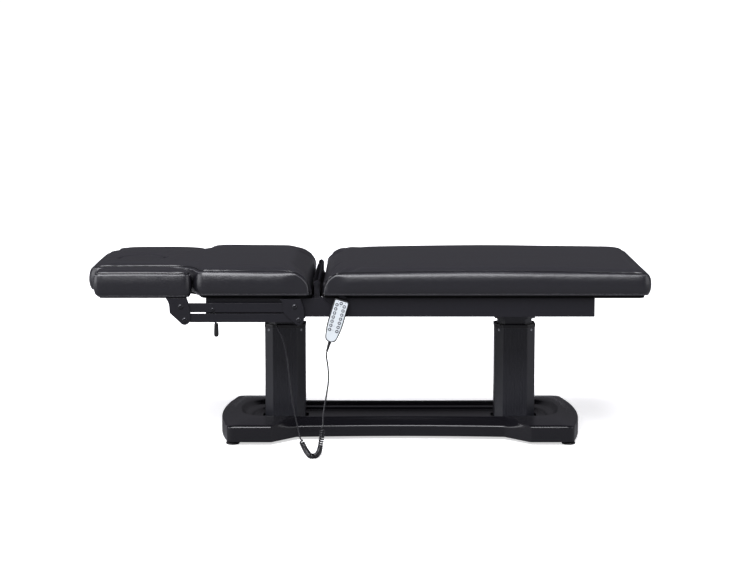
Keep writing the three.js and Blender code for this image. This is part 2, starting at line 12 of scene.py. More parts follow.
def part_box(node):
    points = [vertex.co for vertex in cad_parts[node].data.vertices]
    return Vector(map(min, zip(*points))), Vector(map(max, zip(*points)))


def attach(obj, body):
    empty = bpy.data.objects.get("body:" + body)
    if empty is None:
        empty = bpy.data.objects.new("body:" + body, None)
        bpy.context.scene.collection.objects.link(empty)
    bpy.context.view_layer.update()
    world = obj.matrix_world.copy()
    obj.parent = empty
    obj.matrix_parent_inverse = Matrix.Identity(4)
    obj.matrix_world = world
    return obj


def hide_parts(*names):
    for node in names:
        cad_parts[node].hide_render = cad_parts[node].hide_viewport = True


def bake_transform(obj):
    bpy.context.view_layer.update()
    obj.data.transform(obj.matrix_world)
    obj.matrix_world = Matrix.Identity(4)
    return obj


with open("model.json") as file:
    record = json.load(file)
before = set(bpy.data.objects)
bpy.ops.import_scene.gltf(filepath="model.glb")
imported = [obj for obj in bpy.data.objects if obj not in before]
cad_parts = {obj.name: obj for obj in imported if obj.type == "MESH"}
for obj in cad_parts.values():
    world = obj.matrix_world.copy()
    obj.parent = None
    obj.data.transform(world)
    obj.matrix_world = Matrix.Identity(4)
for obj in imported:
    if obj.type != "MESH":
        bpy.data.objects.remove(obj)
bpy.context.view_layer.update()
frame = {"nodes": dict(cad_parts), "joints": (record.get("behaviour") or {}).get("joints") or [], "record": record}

MM = 0.001
NODES = frame["nodes"]
SIDES = (("near", -1), ("far", 1))
ENDS = ("head", "foot")


def box_of(node):
    low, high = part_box(node)
    return Vector(low), Vector(high)


def middle_of(node):
    low, high = box_of(node)
    return (low + high) / 2


def add_object(name, data):
    thing = bpy.data.objects.new(name, data)
    bpy.context.scene.collection.objects.link(thing)
    return thing


# ---------- camera, lights and floor ----------
def add_camera():
    """A long lens in front of the near side, above the bed and pitched down a little."""
    pitch = 7.40
    data = bpy.data.cameras.new("camera")
    data.lens = 100.6
    camera = add_object("camera", data)
    camera.location = (0.013, -7.475, 1.506)
    camera.rotation_euler = (math.radians(90 - pitch), 0, 0)
    bpy.context.scene.camera = camera


def show_by_ray(tree, others, camera, output):
    """Gives one shader to the camera's own rays and another to all other rays."""
    choice = tree.nodes.new("ShaderNodeMixShader")
    ray = tree.nodes.new("ShaderNodeLightPath")
    tree.links.new(ray.outputs["Is Camera Ray"], choice.inputs["Fac"])
    tree.links.new(others.outputs[0], choice.inputs[1])
    tree.links.new(camera.outputs[0], choice.inputs[2])
    tree.links.new(choice.outputs["Shader"], output.inputs["Surface"])


def add_world():
    """White where the camera sees it. What lights the object is dim at the horizon and brighter
    overhead, like a studio with dark walls."""
    world = bpy.data.worlds.new("studio")
    world.use_nodes = True
    nodes, links = world.node_tree.nodes, world.node_tree.links
    seen = nodes["Background"]
    seen.inputs["Color"].default_value = (1.0, 1.0, 1.0, 1.0)
    seen.inputs["Strength"].default_value = 1.05
    lit = nodes.new("ShaderNodeBackground")
    lit.inputs["Color"].default_value = (0.91, 0.89, 1.0, 1.0)
    height = nodes.new("ShaderNodeSeparateXYZ")
    links.new(nodes.new("ShaderNodeTexCoord").outputs["Generated"], height.inputs["Vector"])
    glow = nodes.new("ShaderNodeMapRange")
    glow.inputs["From Min"].default_value = 0.1
    glow.inputs["From Max"].default_value = 0.9
    glow.inputs["To Min"].default_value = 0.078
    glow.inputs["To Max"].default_value = 0.35
    links.new(height.outputs["Z"], glow.inputs["Value"])
    links.new(glow.outputs["Result"], lit.inputs["Strength"])
    show_by_ray(world.node_tree, lit, seen, nodes["World Output"])
    bpy.context.scene.world = world


def add_softbox(name, energy, width, aim):
    """A broad, distant light: its strength, its apparent width in degrees and where it points."""
    data = bpy.data.lights.new(name, "SUN")
    data.energy = energy
    data.color = (0.96, 0.96, 1.0)
    data.angle = math.radians(width)
    light = add_object(name, data)
    light.rotation_euler = Vector(aim).to_track_quat("-Z", "Y").to_euler()


def sweep():
    """Pale studio floor. To the camera it glows a little, as a lit sweep does; to the object it is
    dim, so that the dark finishes keep their depth."""
    material = surface("floor", (0.9, 0.9, 0.9), 0.01, (0.8, 0.9), 3, specular=0.1)
    nodes = material.node_tree.nodes
    pale = nodes["Principled BSDF"]
    pale.inputs["Emission Color"].default_value = (1.0, 1.0, 1.0, 1.0)
    pale.inputs["Emission Strength"].default_value = 0.62
    dim = nodes.new("ShaderNodeBsdfDiffuse")
    dim.inputs["Color"].default_value = (0.26, 0.26, 0.27, 1.0)
    show_by_ray(material.node_tree, dim, pale, nodes["Material Output"])
    return material


def add_studio():
    add_world()
    add_softbox("key", 4.7, 44, (0.22, 0.62, -0.80))
    add_softbox("left", 2.1, 50, (0.96, 0.26, -0.12))
    add_softbox("right", 0.95, 50, (-0.96, 0.26, -0.12))
    bpy.context.scene.view_settings.view_transform = "Standard"
    mesh = bpy.data.meshes.new("floor")
    reach = 30
    mesh.from_pydata([(-reach, -reach, 0), (reach, -reach, 0), (reach, reach, 0), (-reach, reach, 0)],
                     [], [(0, 1, 2, 3)])
    mesh.materials.append(sweep())
    add_object("floor", mesh)


# ---------- materials ----------
def surface(name, colour, spread, roughness, scale, relief=(), metallic=0.0, specular=0.5):
    """A Principled material. Colour varies by spread and roughness between its two values, both
    with noise of that scale. relief lists (texture, scale, depth in metres), the coarsest first."""
    material = bpy.data.materials.new(name)
    material.use_nodes = True
    tree = material.node_tree
    nodes, links = tree.nodes, tree.links
    shader = nodes["Principled BSDF"]
    shader.inputs["Metallic"].default_value = metallic
    shader.inputs["Specular IOR Level"].default_value = specular
    place = nodes.new("ShaderNodeTexCoord").outputs["Object"]

    def texture(kind, size):
        node = nodes.new(kind)
        node.inputs["Scale"].default_value = size
        links.new(place, node.inputs["Vector"])
        return node

    tone = texture("ShaderNodeTexNoise", scale)
    tone.inputs["Detail"].default_value = 4.0
    mix = nodes.new("ShaderNodeMix")
    mix.data_type = "RGBA"
    links.new(tone.outputs["Fac"], mix.inputs["Factor"])
    darker, lighter = [s for s in mix.inputs if s.type == "RGBA"]
    darker.default_value = (*[c * (1 - spread) for c in colour], 1)
    lighter.default_value = (*[min(c * (1 + spread), 1) for c in colour], 1)
    result = [s for s in mix.outputs if s.type == "RGBA"][0]
    links.new(result, shader.inputs["Base Color"])

    finer = 2.3  # so that roughness doesn't follow colour
    haze = nodes.new("ShaderNodeMapRange")
    links.new(texture("ShaderNodeTexNoise", scale * finer).outputs["Fac"], haze.inputs["Value"])
    haze.inputs["To Min"].default_value = roughness[0]
    haze.inputs["To Max"].default_value = roughness[1]
    links.new(haze.outputs["Result"], shader.inputs["Roughness"])

    kinds = {"noise": ("ShaderNodeTexNoise", "Fac"), "cells": ("ShaderNodeTexVoronoi", "Distance")}
    last = None
    for kind, size, depth in relief:
        node_type, output = kinds[kind]
        bump = nodes.new("ShaderNodeBump")
        bump.inputs["Distance"].default_value = depth
        links.new(texture(node_type, size).outputs[output], bump.inputs["Height"])
        if last:
            links.new(last.outputs["Normal"], bump.inputs["Normal"])
        last = bump
    if last:
        links.new(last.outputs["Normal"], shader.inputs["Normal"])
    return material


def make_finishes():
    """Each finish is (material, slot of the record)."""
    leather_relief = (("noise", 40, 0.0008), ("cells", 620, 0.00016), ("noise", 1500, 0.00006))
    coat_relief = (("noise", 900, 0.00005),)
    return {
        "leather": (surface("black_leather", (0.0072, 0.0070, 0.0098), 0.2, (0.28, 0.39), 60,
                            leather_relief, specular=0.65), "leather"),
        "thread": (surface("grey_thread", (0.24, 0.24, 0.25), 0.2, (0.6, 0.8), 900), "leather"),
        # near-black and dull, blacker than the leather: painted shade of the seam groove, worn by the bead laid in
        # it
        "seam": (surface("painted_groove_shade", (0.002, 0.002, 0.002), 0.2, (0.6, 0.8), 300, specular=0.1),
                 "leather"),
        "board": (surface("board_cloth", (0.004, 0.004, 0.004), 0.3, (0.8, 0.95), 300,
                          (("noise", 700, 0.0003),), specular=0.2), "ply"),
        "steel": (surface("powder_coat", (0.0078, 0.0075, 0.0104), 0.12, (0.32, 0.42), 90,
                          coat_relief, specular=0.4), "coated_steel"),
        "column": (surface("column_coat", (0.0165, 0.0172, 0.0220), 0.12, (0.3, 0.38), 120,
                           coat_relief), "column"),
        "cover": (surface("moulded_cover", (0.0048, 0.0046, 0.0062), 0.22, (0.2, 0.29), 420,
                          (("noise", 650, 0.00007),), specular=0.45), "base_plastic"),
        "plastic": (surface("black_plastic", (0.006, 0.006, 0.0065), 0.2, (0.3, 0.42), 200,
                            (("noise", 900, 0.00006),)), "black_plastic"),
        "rubber": (surface("black_rubber", (0.007, 0.007, 0.007), 0.2, (0.45, 0.6), 150,
                           (("noise", 400, 0.00015),)), "foot_rubber"),
        "bolt": (surface("black_bolt", (0.030, 0.030, 0.034), 0.2, (0.16, 0.25), 300,
                         metallic=0.6), "coated_steel"),
        "bright": (surface("bright_steel", (0.55, 0.56, 0.58), 0.1, (0.2, 0.35), 300,
                           (("noise", 700, 0.00005),), metallic=1.0), "bright_steel"),
        "face": (surface("handset_face", (0.63, 0.675, 0.69), 0.03, (0.35, 0.45), 80,
                         (("noise", 500, 0.00004),)), "handset_face"),
        "ring": (surface("key_ring", (0.045, 0.047, 0.065), 0.1, (0.4, 0.5), 300), "key"),
        "cord": (surface("cord_sheath", (0.010, 0.010, 0.012), 0.2, (0.16, 0.26), 300,
                         (("noise", 500, 0.00008),)), "cord"),
    }


# ---------- outlines ----------
def rounded(points, radius=0.0, steps=5):
    """A closed outline with each corner turned into a curve. A point may carry its own radius."""
    most = 0.49  # a curve takes no more than this share of a side
    result = []
    for index, point in enumerate(points):
        before = Vector(points[index - 1][:2])
        after = Vector(points[(index + 1) % len(points)][:2])
        here = Vector(point[:2])
        size = point[2] if len(point) > 2 else radius
        if size <= 0:
            result.append(here)
            continue
        reach_in = min(size, (before - here).length * most)
        reach_out = min(size, (after - here).length * most)
        start = here + (before - here).normalized() * reach_in
        end = here + (after - here).normalized() * reach_out
        for step in range(steps + 1):
            t = step / steps
            result.append(start * (1 - t) ** 2 + here * 2 * t * (1 - t) + end * t ** 2)
    return result


def quadratic(start, control, end, steps):
    """Points of a curve from start, up to but not at end."""
    a, b, c = Vector(start), Vector(control), Vector(end)
    return [a * (1 - t) ** 2 + b * 2 * t * (1 - t) + c * t * t
            for t in (step / steps for step in range(steps))]


def circle(centre, radius, steps):
    return [Vector((centre[0] + radius * math.cos(angle), centre[1] + radius * math.sin(angle)))
            for angle in (2 * math.pi * i / steps for i in range(steps))]


# ---------- solids ----------
def along(axis, u, v, w):
    """A point from two outline coordinates and the place along the axis."""
    return {"x": (w, u, v), "y": (u, w, v), "z": (u, v, w)}[axis]


class Solids:
    """Closed solids gathered in one mesh, which becomes one piece."""
    BEVELLED = math.radians(38)  # edges that turn by more than this are rounded

    def __init__(self):
        self.mesh = bmesh.new()

    def taken(self, name):
        """The gathered solids as mesh data. The gathering ends with it."""
        data = bpy.data.meshes.new(name)
        self.mesh.to_mesh(data)
        self.mesh.free()
        return data

    def skin(self, rings, loop=False):
        """Joins rings of equal length in order, and the last to the first in a loop."""
        made = [[self.mesh.verts.new(p) for p in ring] for ring in rings]
        for first, second in zip(made, made[1:] + (made[:1] if loop else [])):
            for i in range(len(first)):
                j = (i + 1) % len(first)
                self.mesh.faces.new((first[i], first[j], second[j], second[i]))
        return made

    def loft(self, rings):
        """A solid through rings of equal length, with flat ends."""
        made = self.skin(rings)
        self.mesh.faces.new(made[0])
        self.mesh.faces.new(made[-1])
        return self

    def prism(self, outline, axis, low, high):
        return self.loft([[along(axis, p[0], p[1], w) for p in outline] for w in (low, high)])

    def ring_prism(self, outer, inner, axis, low, high):
        """A prism with a hole. The two outlines have the same number of points."""
        rings = [(outer, low), (outer, high), (inner, high), (inner, low)]
        self.skin([[along(axis, p[0], p[1], w) for p in o] for o, w in rings], loop=True)
        return self

    def turned(self, profile, at, direction, steps=28):
        """A turned solid: profile lists (radius, height), from the axis and back to it."""
        turn = Vector((0, 0, 1)).rotation_difference(Vector(direction)).to_matrix()
        made = self.skin([[Vector(at) + turn @ Vector((*p, h)) for p in circle((0, 0), r, steps)]
                          for r, h in profile[1:-1]])
        for ring, (_, height) in ((made[0], profile[0]), (made[-1], profile[-1])):
            tip = self.mesh.verts.new(Vector(at) + turn @ Vector((0, 0, height)))
            for i in range(steps):
                self.mesh.faces.new((ring[i], ring[(i + 1) % steps], tip))
        return self

    def tube(self, path, radius, sides=8):
        """A round bar along a path, with flat ends. radius may be one number or one per point."""
        sizes = radius if isinstance(radius, list) else [radius] * len(path)
        frames = transported(path)
        rings = [[p + (n * math.cos(a) + b * math.sin(a)) * r
                  for a in (2 * math.pi * k / sides for k in range(sides))]
                 for p, (n, b), r in zip(path, frames, sizes)]
        return self.loft(rings)

    def node(self, name):
        """The solids of a CAD node, with its flat faces made whole."""
        copy = bmesh.new()
        copy.from_mesh(NODES[name].data)
        bmesh.ops.remove_doubles(copy, verts=copy.verts, dist=1e-6)
        bmesh.ops.dissolve_limit(copy, angle_limit=math.radians(1), verts=copy.verts,
                                 edges=copy.edges)
        data = bpy.data.meshes.new("copy")
        copy.to_mesh(data)
        copy.free()
        self.mesh.from_mesh(data)
        bpy.data.meshes.remove(data)
        return self

    def piece(self, name, finish, body, bevel=0.0, replaces=(), sharp=32):
        """Turns the solids into a piece, with its sharp edges rounded by the bevel."""
        bmesh.ops.recalc_face_normals(self.mesh, faces=self.mesh.faces)
        if bevel:
            edges = [e for e in self.mesh.edges
                     if len(e.link_faces) == 2 and e.calc_face_angle(0) > self.BEVELLED]
            bmesh.ops.bevel(self.mesh, geom=edges, offset=bevel, offset_type="OFFSET",
                            segments=2, profile=0.5, affect="EDGES", clamp_overlap=True)
        return place(name, self.taken(name), finish, body, replaces, sharp)


def cut(solids, holes):
    """The mesh of one set of solids less another."""
    things = []
    for made in (solids, holes):
        bmesh.ops.recalc_face_normals(made.mesh, faces=made.mesh.faces)
        things.append(add_object("cut", made.taken("cut")))
    source, cutter = things
    boolean = source.modifiers.new("holes", "BOOLEAN")
    boolean.object = cutter
    boolean.solver = "EXACT"
    result = evaluated(source)
    bpy.data.objects.remove(cutter)
    return result


def place(name, data, finish, body, replaces=(), sharp=32):
    """Puts a mesh in the scene as a piece that rides on a body."""
    material, slot = FINISH[finish]
    data.materials.clear()
    data.materials.append(material)
    data.polygons.foreach_set("use_smooth", [True] * len(data.polygons))
    data.set_sharp_from_angle(angle=math.radians(sharp))
    data.name = name
    piece = add_object(name, data)
    shading = piece.modifiers.new("shading", "WEIGHTED_NORMAL")
    shading.keep_sharp = True
    if body:
        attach(piece, body)
    if replaces:
        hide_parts(*replaces)
    return piece


def transported(path):
    """For each point of a path, two directions square to it that don't twist."""
    tangents = [(path[min(i + 1, len(path) - 1)] - path[max(i - 1, 0)]).normalized()
                for i in range(len(path))]
    side = tangents[0].orthogonal().normalized()
    frames = []
    for index, tangent in enumerate(tangents):
        if index:
            side = tangents[index - 1].rotation_difference(tangent) @ side
        side = (side - tangent * side.dot(tangent)).normalized()
        frames.append((side.copy(), tangent.cross(side)))
    return frames


def spaced(points, spacing):
    """Points a spacing apart along a line of 2-D or 3-D points, and each one's distance along it."""
    places = np.array([tuple(p) for p in points])
    run = np.concatenate([[0], np.cumsum(np.linalg.norm(np.diff(places, axis=0), axis=1))])
    stops = np.linspace(0, run[-1], max(2, round(run[-1] / spacing) + 1))
    return [Vector([float(np.interp(s, run, column)) for column in places.T])
            for s in stops], stops


def resampled(points, spacing, closed=False):
    line, _ = spaced([*points, points[0]] if closed else points, spacing)
    return line[:-1] if closed else line


def smooth_path(points, spacing):
    """A curve through the points, as points a spacing apart, with each one's distance along it."""
    parts = 40  # of each stretch between two points, before the spacing is made even
    knots = [Vector(p) for p in points]
    ends = [knots[0] * 2 - knots[1], *knots, knots[-1] * 2 - knots[-2]]
    fine = []
    for a, b, c, d in zip(ends, ends[1:], ends[2:], ends[3:]):
        for t in (k / parts for k in range(parts)):
            fine.append(0.5 * (2 * b + (c - a) * t + (2 * a - 5 * b + 4 * c - d) * t * t
                               + (3 * b - a - 3 * c + d) * t ** 3))
    return spaced([*fine, knots[-1]], spacing)


# ---------- handset cord ----------
# the handset leans by TILT radians and hangs with its middle at HANDSET_AT
TILT = 0.29
HANDSET_AT = Vector((-0.116, -0.366, 0.4515))
HANDSET_HALF = 0.076
RELIEF = 0.036
CORD = {"diameter": 0.0055, "helix": 0.0071, "pitch": 0.0078}


def on_handset(u, v, y):
    """A point from the handset's own upright coordinates."""
    return Vector((HANDSET_AT.x + u * math.cos(TILT) + v * math.sin(TILT), y,
                   HANDSET_AT.z - u * math.sin(TILT) + v * math.cos(TILT)))


RELIEF_TIP = on_handset(0, -(HANDSET_HALF + RELIEF + 0.001), HANDSET_AT.y)
HANDSET_LEAD = [tuple(RELIEF_TIP), (-0.1498, -0.3672, 0.328), (-0.1442, -0.3730, 0.293),
                (-0.142, -0.384, 0.250), (-0.147, -0.394, 0.210), (-0.155, -0.402, 0.162),
                (-0.160, -0.409, 0.125), (-0.161, -0.414, 0.0975)]
COIL = [(-0.161, -0.414, 0.0965), (-0.164, -0.424, 0.070), (-0.167, -0.436, 0.042),
        (-0.171, -0.452, 0.020), (-0.176, -0.480, 0.0112), (-0.183, -0.513, 0.0104),
        (-0.193, -0.524, 0.0104), (-0.203, -0.513, 0.0104), (-0.211, -0.480, 0.0110),
        (-0.221, -0.448, 0.018), (-0.232, -0.424, 0.034), (-0.240, -0.410, 0.052)]
FRAME_LEAD = [(-0.2405, -0.4095, 0.0536), (-0.249, -0.398, 0.088), (-0.259, -0.388, 0.130),
              (-0.270, -0.377, 0.190), (-0.281, -0.364, 0.278), (-0.289, -0.355, 0.339),
              (-0.305, -0.346, 0.396), (-0.3190, -0.3402, 0.4230),
              (-0.3236, -0.3380, 0.4332)]


def cord_path():
    """Straight lead, curly stretch, straight lead, as one centre line. The curls grow from nothing
    and turn faster over a ramp at each end. The leads keep only some of the points."""
    points_a_turn, ramp, least_turn = 14, 42, 0.12
    lead_spacing, lead_end = 36, 18
    line, stops = smooth_path([*HANDSET_LEAD, *COIL[1:], *FRAME_LEAD[1:]],
                              CORD["pitch"] / points_a_turn)
    first, last = [min(range(len(line)), key=lambda i: (line[i] - Vector(p)).length)
                   for p in (COIL[0], COIL[-1])]
    frames = transported(line)
    path = []
    angle = 0.0
    for index, point in enumerate(line):
        inside = min(index - first, last - index)
        if inside <= 0:
            to_end = index if index < first else len(line) - 1 - index
            if to_end == 0 or (inside % lead_spacing == 0 and to_end > lead_end):
                path.append(point)
            continue
        share = min(1, inside / ramp)
        turns = (stops[index] - stops[index - 1]) / CORD["pitch"] * max(least_turn, share ** 2)
        angle += 2 * math.pi * turns
        radius = CORD["helix"] * share * share * (3 - 2 * share)
        side, up = frames[index]
        path.append(point + (side * math.cos(angle) + up * math.sin(angle)) * radius)
    return path


def make_cord():
    path = cord_path()
    cord = Solids().tube(path, CORD["diameter"] / 2, 8).piece(
        "handset_cord", "cord", None,
        replaces=("cord_lead_handset", "cord_coil", "cord_lead_frame"), sharp=80)
    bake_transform(cord)


def make_strain_relief():
    """Tapered and ribbed, at the handset's foot."""
    steps, overlap, wide, taper, groove = 13, 0.001, 0.0064, 0.0026, 0.93
    relief, sizes = [], []
    for i in range(steps):
        share = i / (steps - 1)
        relief.append(on_handset(0, -HANDSET_HALF + overlap - share * (RELIEF + overlap), HANDSET_AT.y))
        sizes.append((wide - taper * share) * (groove if i % 2 else 1.0))
    Solids().tube(relief, sizes, 20).piece(
        "strain_relief", "rubber", "handset", replaces=("handset_strain_relief",), sharp=60)


def make_gland():
    """Where the cord enters the rail from below."""
    low, high = box_of("cord_gland")
    x, y = -0.324, -0.3375
    height = high.z - low.z
    profile = [(0, 0), (0.0036, 0), (0.0042, 0.003), (0.0058, height * 0.45),
               (0.0062, height * 0.5), (0.0085, height * 0.52), (0.0085, height * 0.98),
               (0.008, height), (0, height)]
    Solids().turned(profile, (x, y, low.z), (0, 0, 1), 24).piece(
        "gland", "plastic", "carriage", replaces=("cord_gland",), sharp=40)


# ---------- upholstery ----------
def section(node, height):
    """The longest outline of a CAD node at a height, as (x, y) points in order."""
    solid = bmesh.new()
    solid.from_mesh(NODES[node].data)
    bmesh.ops.remove_doubles(solid, verts=solid.verts, dist=1e-6)
    found = bmesh.ops.bisect_plane(solid, geom=[*solid.verts, *solid.edges, *solid.faces],
                                   plane_co=(0, 0, height), plane_no=(0, 0, 1), dist=1e-7)
    neighbours = {}
    for edge in (e for e in found["geom_cut"] if isinstance(e, bmesh.types.BMEdge)):
        a, b = edge.verts
        neighbours.setdefault(a, []).append(b)
        neighbours.setdefault(b, []).append(a)
    loops = []
    while neighbours:
        start = next(iter(neighbours))
        loop, here = [start], start
        while True:
            onward = [v for v in neighbours.pop(here) if v in neighbours]
            if not onward:
                break
            here = onward[0]
            loop.append(here)
        loops.append([Vector((v.co.x, v.co.y)) for v in loop])
    solid.free()

    def girth(loop):
        return sum((loop[i] - loop[i - 1]).length for i in range(len(loop)))

    best = max(loops, key=girth)
    area = sum(best[i - 1].cross(best[i]) for i in range(len(best)))
    return best if area > 0 else best[::-1]


def nose_curve(nose_x, reach, low, top, inset):
    """The bullnose in side view, set in from the surface: (x, z) from its foot to the flat top."""
    direction = 1 if reach > 0 else -1
    short = 0.4477  # a quarter circle's handles stop this share short of its corner
    foot_drop = 0.012
    steps = 24
    a = Vector((nose_x, low))
    b = Vector((nose_x, low + (top - low) * (1 - short)))
    c = Vector((nose_x + reach * short, top))
    d = Vector((nose_x + reach, top))
    points = []
    for t in (k / steps for k in range(steps + 1)):
        point = a * (1 - t) ** 3 + b * 3 * t * (1 - t) ** 2 + c * 3 * t * t * (1 - t) + d * t ** 3
        slope = ((b - a) * (1 - t) ** 2 + (c - b) * 2 * t * (1 - t) + (d - c) * t * t).normalized()
        points.append(point + Vector((slope.y, -slope.x)) * direction * inset)
    return [Vector((points[0].x, low - foot_drop)), *points]


def tree_of(points):
    """A search tree that knows each point by its place in the list."""
    tree = KDTree(len(points))
    for index, point in enumerate(points):
        tree.insert(point, index)
    tree.balance()
    return tree


def clamped(value):
    return min(max(value, 0), 1)


def evaluated(source):
    """The mesh of an object with its modifiers applied. The object itself is removed."""
    bpy.context.view_layer.update()
    graph = bpy.context.evaluated_depsgraph_get()
    result = bpy.data.meshes.new_from_object(source.evaluated_get(graph))
    bpy.data.objects.remove(source)
    return result


def vertex_array(mesh, what="co"):
    values = np.empty(len(mesh.vertices) * 3)
    mesh.vertices.foreach_get(what, values)
    return values.reshape(-1, 3)


def write_vertices(mesh, places):
    mesh.vertices.foreach_set("co", np.ascontiguousarray(places, dtype=np.float64).ravel())
    mesh.update()


SIMULATED_FRAMES = 20


class Cushion:
    """An upholstered CAD solid: remeshed, relaxed, inflated, then given its seams.

    nose: (x of its end, how far its curve reaches), for a cushion with a bullnose
    droop: how far the top lies below the CAD's in the middle, and how much more at the ends
    bulge, wrap, tuck: how far the walls swell, the lower edge folds under and the end lifts
    """
    OUTLINE_HEIGHT = 0.03     # where the CAD solid's outline is taken
    UNDERSIDE = 0.004         # the skin below this height is held by the board
    SEAM_HOLD = 0.006         # how near a seam the skin is held
    LEAN_REACH = 0.028        # how far in from a wall its swelling is felt
    WRAP_REACH = 0.018        # the same for the fold at the lower edge
    TUCK_REACH = 0.030        # how far in from the head end its underside lifts
    NOSE_SWELL = 0.004
    NOSE_SHARE = 0.6          # the part of the nose's reach that swells by itself
    SAG_POWER = 1.6           # how late the fall of the top begins
    SEAM_SPACING = 0.004
    LONGEST_STEP = 0.03       # a longer step along a landed seam is a break in it

    def __init__(self, name, node, voxel, relax, cap, shrink, nose=None, droop=(0.0, 0.0),
                 bulge=0.0, wrap=0.0, tuck=0.0):
        self.name, self.node, self.nose = name, node, nose
        self.cap, self.droop, self.bulge, self.wrap, self.tuck = cap, droop, bulge, wrap, tuck
        self.low, self.high = box_of(node)
        self.outline = section(node, self.low.z + self.OUTLINE_HEIGHT)
        self.body = next(b for b, members in frame["record"]["behaviour"]["bodies"].items()
                         if node in members)
        source = add_object("source", NODES[node].data.copy())
        remesh = source.modifiers.new("remesh", "REMESH")
        remesh.mode = "VOXEL"
        remesh.voxel_size = voxel
        self.mesh = evaluated(source)
        self.soften(relax, shrink)
        self.fill_out()
        self.rest = vertex_array(self.mesh)

    def soften(self, times, shrink):
        """Rounds the edges, pulls the skin in a little, and keeps the underside flat."""
        places = vertex_array(self.mesh)
        edges = np.empty(len(self.mesh.edges) * 2, dtype=np.int64)
        self.mesh.edges.foreach_get("vertices", edges)
        first, second = edges.reshape(-1, 2).T
        degree = np.bincount(np.concatenate([first, second]), minlength=len(places))[:, None]
        under = places[:, 2] < self.low.z + 0.002
        stay = 0.4
        for _ in range(times):
            total = np.zeros_like(places)
            np.add.at(total, first, places[second])
            np.add.at(total, second, places[first])
            places = places * stay + total / degree * (1 - stay)
            places[under, 2] = self.low.z
        write_vertices(self.mesh, places)
        places -= vertex_array(self.mesh, "normal") * shrink
        places[under, 2] = self.low.z
        write_vertices(self.mesh, places)

    def sag(self, x):
        """How far the top falls below the CAD's, from the middle of the cushion to its ends."""
        share = abs(2 * (x - self.low.x) / (self.high.x - self.low.x) - 1)
        return self.droop[0] + self.droop[1] * share ** self.SAG_POWER

    def walls(self):
        """Points of the outline with their outward directions."""
        points = resampled(self.outline, self.SEAM_SPACING, closed=True)
        runs = [points[(i + 1) % len(points)] - points[i - 1] for i in range(len(points))]
        return [(p, Vector((run.y, -run.x, 0)).normalized()) for p, run in zip(points, runs)]

    def fill_out(self):
        """Lets the top fall towards the ends, leans the walls as stuffing does, and wraps the
        leather round the lower edge."""
        walls = self.walls()
        tree = tree_of([(*point, 0) for point, _ in walls])
        height = self.high.z - self.low.z
        for vertex in self.mesh.vertices:
            at = vertex.co
            share = clamped((at.z - self.low.z) / height)
            _, index, distance = tree.find((at.x, at.y, 0))
            near = math.exp(-(distance / self.LEAN_REACH) ** 2)
            if self.nose:
                nose_x, reach = self.nose
                start = (at.x - nose_x - reach * self.NOSE_SHARE) / (reach * self.NOSE_SHARE)
                near *= clamped(start)
                front = clamped(-start) if 0.05 < share < 0.95 else 0
                at.x -= math.copysign(self.NOSE_SWELL, reach) * front * math.sin(math.pi * share)
            lean = self.bulge * (math.sin(math.pi * share ** 0.8) - 0.9 * share ** 3)
            if share < 0.03:
                at.z -= self.wrap * max(0, 1 - distance / self.WRAP_REACH)
            at.z -= self.sag(at.x) * share * share
            at += walls[index][1] * lean * near
            tuck = clamped((self.low.x + self.TUCK_REACH - at.x) / self.TUCK_REACH)
            at.z += self.tuck * (1 - math.sqrt(1 - tuck * tuck)) * (1 - share)

    def seam(self, inset):
        """A seam round the walls, that far below the top surface: points and outward directions."""
        top = self.high.z - inset
        walls = [(Vector((*p, top - self.sag(p.x))), n) for p, n in self.walls()]
        if self.nose is None:
            return [*walls, walls[0]]
        nose_x, reach = self.nose
        start_x = nose_x + reach
        flat = [(p, n) for p, n in walls if (p.x - start_x) * reach > 0]
        first = next(i for i in range(len(flat)) if (flat[i][0] - flat[i - 1][0]).length > 0.05)
        flat = flat[first:] + flat[:first]
        nose_foot = self.low.z + 0.016
        curve = resampled(nose_curve(nose_x, reach, nose_foot, self.high.z, inset),
                          self.SEAM_SPACING)
        begin, end = flat[0], flat[-1]
        fall = self.sag(start_x)
        head = [(Vector((c.x, begin[0].y, c.y - fall)), begin[1]) for c in curve]
        tail = [(Vector((c.x, end[0].y, c.y - fall)), end[1]) for c in reversed(curve)]
        return [*head, *flat, *tail]

    def level_seam(self, rise):
        """A seam round the walls at a height above the underside."""
        walls = [(Vector((*p, self.low.z + rise)), n) for p, n in self.walls()]
        return [*walls, walls[0]]

    def held(self, seam):
        """Vertices that the stuffing can't move: the underside and the seam line."""
        tree = tree_of([point for point, _ in seam])
        under = self.low.z + self.UNDERSIDE
        return [v.index for v in self.mesh.vertices
                if v.co.z < under or tree.find(v.co)[2] < self.SEAM_HOLD]

    def start(self, seam):
        """Sets the piece up for the simulation."""
        self.cloth = add_object(self.name + "_cloth", self.mesh)
        group = self.cloth.vertex_groups.new(name="held")
        group.add(self.held(seam), 1.0, "REPLACE")
        cloth = self.cloth.modifiers.new("cloth", "CLOTH")
        settings = cloth.settings
        settings.quality = 4
        settings.use_pressure = True
        settings.uniform_pressure_force = 4.0
        settings.vertex_group_mass = "held"
        settings.effector_weights.gravity = 0.0
        cloth.collision_settings.use_collision = False
        cloth.point_cache.frame_start = 1
        cloth.point_cache.frame_end = SIMULATED_FRAMES

    def stop(self):
        """Takes the simulated shape, with each point's movement capped."""
        moved = vertex_array(evaluated(self.cloth)) - self.rest
        distance = np.linalg.norm(moved, axis=1, keepdims=True)
        factor = self.cap * np.tanh(distance / self.cap) / np.maximum(distance, 1e-9)
        self.places = self.rest + moved * factor

    def close(self):
        """One subdivision of the settled shape."""
        write_vertices(self.mesh, self.places)
        source = add_object("source", self.mesh)
        subdivision = source.modifiers.new("subdivision", "SUBSURF")
        subdivision.levels = 1
        self.mesh = evaluated(source)

